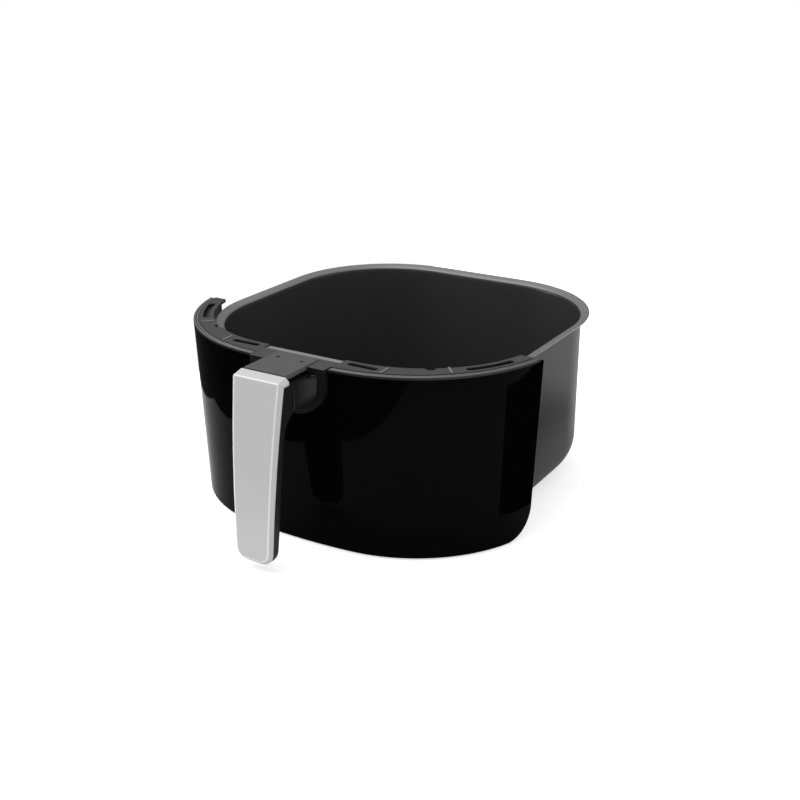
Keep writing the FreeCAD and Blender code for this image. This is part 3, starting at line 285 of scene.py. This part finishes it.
def pan_profile():
    """Offsets from the wall and heights, from the inner base round over the lip to the outer base round:
    arcs and straight walls in turn. The counts of rows that end the inside and the lip come with them."""
    wall_heights = np.linspace(BASE_ROUND, FLARE_HEIGHT, WALL_STEPS)[1:-1]
    flare_middle = FLARE - SHEET
    inner_round = arc_profile(-BASE_ROUND, BASE_ROUND, BASE_ROUND - SHEET, -np.pi / 2, 0, ROUND_STEPS)
    inner_wall = np.stack([np.full(len(wall_heights), -SHEET), wall_heights], axis=-1)
    flare_in = arc_profile(flare_middle, FLARE_HEIGHT, FLARE, np.pi, FLARE_END, FLARE_IN_STEPS)
    bead = arc_profile(BEAD_REACH, RIM_HEIGHT - BEAD, BEAD, FLARE_END, BEAD_END, BEAD_STEPS)
    flare_out = arc_profile(flare_middle, FLARE_HEIGHT, FLARE - SHEET, FLARE_END, np.pi, FLARE_OUT_STEPS)
    outer_wall = np.stack([np.zeros(len(wall_heights)), wall_heights[::-1]], axis=-1)
    outer_round = arc_profile(-BASE_ROUND, BASE_ROUND, BASE_ROUND, 0, -np.pi / 2, ROUND_STEPS)
    inside_rows = len(inner_round) + len(inner_wall) + len(flare_in) // 2
    lip_rows = inside_rows + len(flare_in) // 2 + len(bead)
    rows = np.concatenate([inner_round, inner_wall, flare_in, bead, flare_out, outer_wall, outer_round])
    return rows, inside_rows, lip_rows


def level_ring(outline, height):
    """An outline of points (x, y) at one height."""
    return np.column_stack([outline, np.full(len(outline), height)])


# %% The pan's surface
INNERMOST_SHARE, FLOOR_RINGS = 0.1, 7
FLOOR_SHARES = np.linspace(INNERMOST_SHARE, 1, FLOOR_RINGS + 1)[:-1]
profile, inside_rows, lip_rows = pan_profile()
base_outline = rounded_square(-BASE_ROUND)
floor_rings = [level_ring(base_outline * share, SHEET) for share in FLOOR_SHARES]
under_rings = [level_ring(base_outline * share, 0) for share in FLOOR_SHARES[::-1]]
wall_rings = [level_ring(rounded_square(offset), height) for offset, height in profile]
pan_rings = np.stack(floor_rings + wall_rings + under_rings)
pan = ring_mesh("pan_shell", pan_rings)
OUTSIDE, INSIDE, LIP = range(3)
for coating in (outside_coating, inside_coating, lip_highlight_coating):
    pan.data.materials.append(coating)
points_round = pan_rings.shape[1]
inside_end = (len(floor_rings) + inside_rows) * points_round
lip_end = (len(floor_rings) + lip_rows) * points_round
which = np.full(len(pan.data.polygons), OUTSIDE, dtype=np.int32)
which[:inside_end] = INSIDE
# The lip gets the lighter tone, a painted highlight.
which[inside_end:lip_end] = LIP
# The last faces are the two fans: first the middle of the floor, then the middle of the base under it.
which[-2 * points_round:-points_round] = INSIDE
pan.data.polygons.foreach_set("material_index", which)
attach(pan, "drawer")
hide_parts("pan")

# %% [markdown]
# ## Silver face
# The edges of the grip's silver face are softly rounded, which draws a bright line along each of them. A
# finish alone can't catch the light like that, so the edges are made as shapes. The solid's mesh is
# copied, its flat faces are made whole again, and the edges between the front and the bevels get a small
# round with a lighter finish, a painted highlight on top of the light the rounds catch.

# %% The face with rounded edges
EDGE_ROUND, EDGE_STEPS = 0.7 * MM, 4
ROUND_PROFILE = 0.5
FLAT_LIMIT, EDGE_LIMIT = np.radians(1), np.radians(12)
FRONT_LIMIT = -0.2
FLAT, EDGE = range(2)
soft = bmesh.new()
soft.from_mesh(nodes["handle_face"].data)
bmesh.ops.remove_doubles(soft, verts=soft.verts, dist=MERGE_DISTANCE)
bmesh.ops.dissolve_limit(soft, angle_limit=FLAT_LIMIT, verts=soft.verts, edges=soft.edges)
front_edges = [
    edge for edge in soft.edges
    if len(edge.link_faces) == 2
    and edge.calc_face_angle() > EDGE_LIMIT
    and all(side.normal.y < FRONT_LIMIT for side in edge.link_faces)
]
rounded = bmesh.ops.bevel(soft, geom=front_edges, offset=EDGE_ROUND, segments=EDGE_STEPS,
                          profile=ROUND_PROFILE, affect="EDGES")
for side in soft.faces:
    side.smooth = False
    side.material_index = FLAT
# The rounds get the lighter finish, a painted highlight along the face's edges.
for side in rounded["faces"]:
    side.smooth = True
    side.material_index = EDGE
soft_mesh = bpy.data.meshes.new("silver_face")
soft.to_mesh(soft_mesh)
soft.free()
silver_face = place_mesh("silver_face", soft_mesh)
for coat in (silver, silver_edge_highlight):
    silver_face.data.materials.append(coat)
print("silver_face edges rounded:", len(front_edges), "faces:", len(soft_mesh.polygons))
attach(silver_face, "drawer")
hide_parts("handle_face")

# %% [markdown]
# ## Where the arm meets its flange
# The arm widens smoothly into the U-shaped flange on the panel. Joining the two outlines by straight
# lines would leave a crease at both ends. The fairing is a thin shell with a U-shaped section instead,
# whose width, foot and corner ease from the flange's inner line to the arm, so the step between the two
# can't be seen.

# %% The arm's fairing
FAIRING_REAR, FAIRING_FRONT = -148.6 * MM, -167.0 * MM
FAIRING_TOP = 126.4 * MM
FAIRING_SKIN = 1.5 * MM
FAIRING_SECTIONS = 24
FAIRING_EASE = 2.2
# Half width, height of the foot and radius of the corners of the U at each end.
FLANGE_U = np.array([24.6, 102.2, 17.0]) * MM
ARM_U = np.array([19.4, 105.6, 5.0]) * MM


def u_section(half, foot, corner, corner_steps=14, side_steps=8):
    """Points of a U from its upper right end round to its upper left end: straight sides and quarter-circle
    corners."""
    angles = np.linspace(0, -np.pi / 2, corner_steps)
    across = half - corner + corner * np.cos(angles)
    heights = foot + corner + corner * np.sin(angles)
    side_heights = np.linspace(FAIRING_TOP, foot + corner, side_steps + 1)[:-1]
    side = np.stack([np.full(side_steps, half), side_heights], axis=-1)
    right = np.concatenate([side, np.stack([across, heights], axis=-1)])
    left = right[::-1] * np.array([-1, 1])
    return np.concatenate([right, left])


def fairing_ring(share, skin):
    """One section of the fairing, a share of the way along it: a U and, a skin further in, the same U back.
    The sizes change fast at the flange and level out at the arm."""
    eased = 1 - (1 - share) ** FAIRING_EASE
    half, foot, corner = FLANGE_U + (ARM_U - FLANGE_U) * eased
    outer = u_section(half, foot, corner)
    inner = u_section(half - skin, foot + skin, corner)
    loop = np.concatenate([outer, inner[::-1]])
    y = FAIRING_REAR + (FAIRING_FRONT - FAIRING_REAR) * share
    return np.column_stack([loop[:, 0], np.full(len(loop), y), loop[:, 1]])


shares = np.linspace(0, 1, FAIRING_SECTIONS)
sections = [fairing_ring(share, FAIRING_SKIN) for share in shares]
fairing_rings = np.stack([fairing_ring(0, 0), *sections, fairing_ring(1, 0)])
fairing = ring_mesh("arm_fairing", fairing_rings, capped=False)
fairing.data.materials.append(arm_black)
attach(fairing, "drawer")

# %% [markdown]
# ## Ridges on the caps
# Two fine ridges run along the outer edge of each cap, parallel to the panel's outline. A bump in the
# finish would vanish when seen from the side, so each ridge is a thin round bar carried along the
# outline: first the shallow bow of the front and then the corner's arc. The bars' light grey is a
# painted highlight along each ridge.

# %% The caps' ridges
BOW, BOW_MIDDLE = 380 * MM, 234 * MM
PANEL_CORNER = 109 * MM
PANEL_CORNER_PLACE = np.array([30.0, -35.33]) * MM
BOW_END = np.arcsin(PANEL_CORNER_PLACE[0] / (BOW - PANEL_CORNER))
RIDGE_START, RIDGE_REAR = 31.0 * MM, 59.0 * MM
RIDGE_HEIGHT, RIDGE_RADIUS = CAP_LEDGE, 0.45 * MM
RIDGE_INSETS = (1.0 * MM, 2.8 * MM)
RIDGE_POINTS = 10


def headings_at(angles):
    """Outward headings (x, y) at angles counted from the front."""
    return np.stack([np.sin(angles), -np.cos(angles)], axis=-1)


def cap_path(inset, bow_steps=13, arc_steps=40):
    """Points and outward headings along the panel's outline, from beside the handle to the cap's rear end:
    part of the bow's circle and then part of the corner's."""
    first = np.arcsin(RIDGE_START / (BOW - inset))
    bow_angles = np.linspace(first, BOW_END, bow_steps)[:-1]
    bow = np.array([0, BOW_MIDDLE]) + (BOW - inset) * headings_at(bow_angles)
    last = np.arccos((RIDGE_REAR + PANEL_CORNER_PLACE[1]) / (PANEL_CORNER - inset))
    arc_angles = np.linspace(BOW_END, last, arc_steps)
    arc = PANEL_CORNER_PLACE + (PANEL_CORNER - inset) * headings_at(arc_angles)
    angles = np.concatenate([bow_angles, arc_angles])
    return np.concatenate([bow, arc]), headings_at(angles)


def ridge(name, inset, side):
    """A round bar along the cap's outline: a small circle, square to the path, at every point of it."""
    points, headings = cap_path(inset)
    angles = np.linspace(0, 2 * np.pi, RIDGE_POINTS, endpoint=False)
    across = headings[:, None, :] * (RIDGE_RADIUS * np.cos(angles))[None, :, None]
    flat = points[:, None, :] + across
    height = np.broadcast_to(RIDGE_HEIGHT + RIDGE_RADIUS * np.sin(angles), flat.shape[:2])
    rings = np.concatenate([flat * np.array([side, 1]), height[..., None]], axis=-1)
    bar = ring_mesh(name, rings)
    # A painted highlight: the bar is much lighter than the cap it lies on.
    bar.data.materials.append(ridge_highlight_grey)
    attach(bar, "drawer")


for side, word in ((1, "right"), (-1, "left")):
    for number, inset in enumerate(RIDGE_INSETS):
        ridge(f"cap_ridge_{word}_{number}", inset, side)

# %% [markdown]
# ## Camera and lamps
# The camera looks at the drawer from the front right and a little above. One large lamp above gives the
# soft shadow, a tall lamp at the left draws a highlight along the panel's edge and a weak one at the
# right opens the shadows. All three are large, because a small lamp would put a hard spot on the gloss.

# %% Camera
CAMERA_PLACE = Vector((0.4275, -0.7148, 0.3835))
CAMERA_HEADING = Vector((-0.48101, 0.79628, -0.36683))
LENS, SENSOR = 52.65, 36.0
camera = bpy.data.objects.new("camera", bpy.data.cameras.new("camera"))
camera.data.lens = LENS
camera.data.sensor_width = SENSOR
camera.location = CAMERA_PLACE
camera.rotation_euler = CAMERA_HEADING.to_track_quat("-Z", "Y").to_euler()
bpy.context.scene.collection.objects.link(camera)
bpy.context.scene.camera = camera
print("camera lens:", LENS)

# %% Lamps
AIM = Vector((0, -0.03, 0.06))


def lamp(name, place, width, height, power):
    """A rectangular lamp that faces the drawer."""
    data = bpy.data.lights.new(name, "AREA")
    data.shape = "RECTANGLE"
    data.size = width
    data.size_y = height
    data.energy = power
    holder = bpy.data.objects.new(name, data)
    holder.location = place
    holder.rotation_euler = (AIM - Vector(place)).to_track_quat("-Z", "Y").to_euler()
    bpy.context.scene.collection.objects.link(holder)
    print(name, "power:", power)


lamp("top_lamp", (-0.7, -0.2, 1.9), width=1.8, height=1.8, power=20.0)
lamp("left_lamp", (-1.5, -0.7, 0.7), width=0.4, height=1.4, power=6.0)
lamp("right_lamp", (1.7, 0.5, 0.8), width=0.8, height=1.2, power=2.0)

# %% [markdown]
# ## Floor and surroundings
# The floor is a white table with its left front corner cut off. The panel mirrors the table, and that
# lighter reflection ends where the table does. The floor is lifted to white for the camera alone, so only
# the soft shadow stays. A dark card at the right is seen by reflections alone: it darkens the panel's
# right end and the pan's wall beside it. The surroundings are white for the camera, softer as light and
# dim in reflections, which keeps the gloss black.

# %% Floor and card
TABLE_LEFT, TABLE_FRONT, TABLE_FAR = -0.278, -0.545, 12.0
CUT_REAR, CUT_FRONT = -0.12, (-0.193, -0.215)
FRONT_START = 0.6
FLOOR_HEIGHT = -0.2 * MM
FLOOR_LIFT = 0.58
CARD_NEAR, CARD_FAR = 0.165, 0.385
CARD_FRONT, CARD_SLANT, CARD_REAR = -0.075, 0.19, 0.2
CARD_HEIGHT = 0.5 * MM
WHITE = (1, 1, 1, 1)


def flat_sheet(name, corners, height, material):
    """A flat face with the given corners at one height."""
    mesh = bpy.data.meshes.new(name)
    mesh.from_pydata(level_ring(corners, height).tolist(), [], [range(len(corners))])
    mesh.materials.append(material)
    print(name, "corners:", len(corners))
    return place_mesh(name, mesh)


white = finish("floor_white", 0.93, 0.9, shine=0.0, bump=0.0, drift=0.0)
seen = white.node_tree.nodes.new("ShaderNodeLightPath")
lift = add_node(white, "ShaderNodeMapRange", To_Min=0.0, To_Max=FLOOR_LIFT)
white_shader = white.node_tree.nodes["Principled BSDF"]
white_shader.inputs["Emission Color"].default_value = WHITE
white.node_tree.links.new(seen.outputs["Is Camera Ray"], lift.inputs["Value"])
white.node_tree.links.new(lift.outputs["Result"], white_shader.inputs["Emission Strength"])
table_corners = (
    (TABLE_LEFT, TABLE_FAR),
    (TABLE_LEFT, CUT_REAR),
    CUT_FRONT,
    (FRONT_START, TABLE_FRONT),
    (TABLE_FAR, TABLE_FRONT),
    (TABLE_FAR, TABLE_FAR),
)
floor = flat_sheet("floor", table_corners, FLOOR_HEIGHT, white)

card_corners = (
    (CARD_NEAR, CARD_FRONT),
    (CARD_FAR, CARD_FRONT + CARD_SLANT * (CARD_FAR - CARD_NEAR)),
    (CARD_FAR, CARD_REAR),
    (CARD_NEAR, CARD_REAR),
)
card_black = finish("card_black", 0.001, 0.9, spread=0.0, shine=0.0, bump=0.0)
card = flat_sheet("dark_card", card_corners, CARD_HEIGHT, card_black)
card.visible_camera = False
card.visible_diffuse = False
card.visible_shadow = False

# %% Surroundings
AMBIENT_LEVEL, REFLECTED_LEVEL, BACKGROUND_LEVEL = 0.66, 0.06, 1.0
world = bpy.data.worlds.new("studio")
bpy.context.scene.world = world
world.use_nodes = True
world_nodes = world.node_tree.nodes
world_links = world.node_tree.links
ambient = world_nodes["Background"]
ambient.inputs["Color"].default_value = WHITE
rays = world_nodes.new("ShaderNodeLightPath")
reflected = world_nodes.new("ShaderNodeMix")
reflected.inputs["A"].default_value = AMBIENT_LEVEL
reflected.inputs["B"].default_value = REFLECTED_LEVEL
world_links.new(rays.outputs["Is Glossy Ray"], reflected.inputs["Factor"])
background = world_nodes.new("ShaderNodeMix")
background.inputs["B"].default_value = BACKGROUND_LEVEL
world_links.new(rays.outputs["Is Camera Ray"], background.inputs["Factor"])
world_links.new(reflected.outputs["Result"], background.inputs["A"])
world_links.new(background.outputs["Result"], ambient.inputs["Strength"])
bpy.context.scene.view_settings.view_transform = "Standard"
print("surroundings:", AMBIENT_LEVEL, REFLECTED_LEVEL, BACKGROUND_LEVEL)
